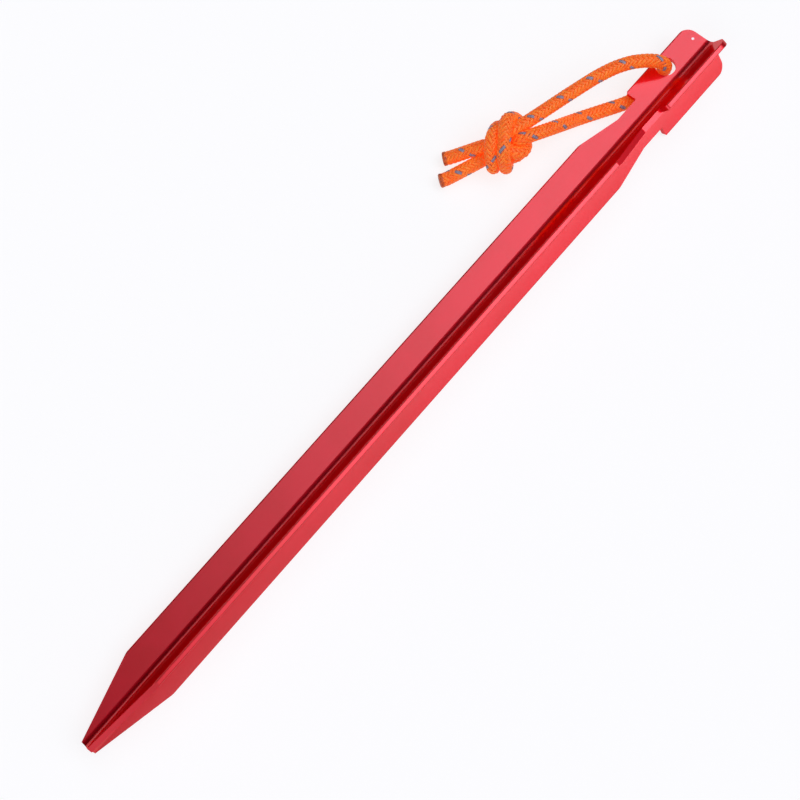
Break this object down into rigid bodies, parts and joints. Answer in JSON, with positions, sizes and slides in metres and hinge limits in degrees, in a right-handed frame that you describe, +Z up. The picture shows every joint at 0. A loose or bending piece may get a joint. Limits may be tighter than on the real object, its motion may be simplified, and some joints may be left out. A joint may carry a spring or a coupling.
{
  "type": "tent stake",
  "caption": "Y-section aluminium tent stake with notched head, blunt tapered tip and a knotted braided pull cord through a hole in one flange.",
  "frame": {"origin": "on the ground, under the middle of the stake body's own box", "axes": "+X from the tip to the head, +Z up, +Y to the side of the flange that holds the cord"},
  "size_m": [0.18, 0.0307, 0.0116],
  "materials": {
    "anodised_red": "satin anodised",
    "cord_orange": "braided polyester with a grey reflective tracer yarn"
  },
  "bodies": {
    "stake": {"stake_body": "anodised_red"},
    "pull_cord": {"cord_upper_run": "cord_orange", "cord_lower_run": "cord_orange", "cord_knot": "cord_orange", "cord_upper_tail": "cord_orange", "cord_lower_tail": "cord_orange"}
  },
  "joints": [
    {"name": "pull_cord_swing", "type": "hinge", "parent": "stake", "child": "pull_cord", "pos_m": [0.0804, 0.00312, 0.00423], "axis": [0, 0, 1], "range_deg": [-140, 8]}
  ]
}
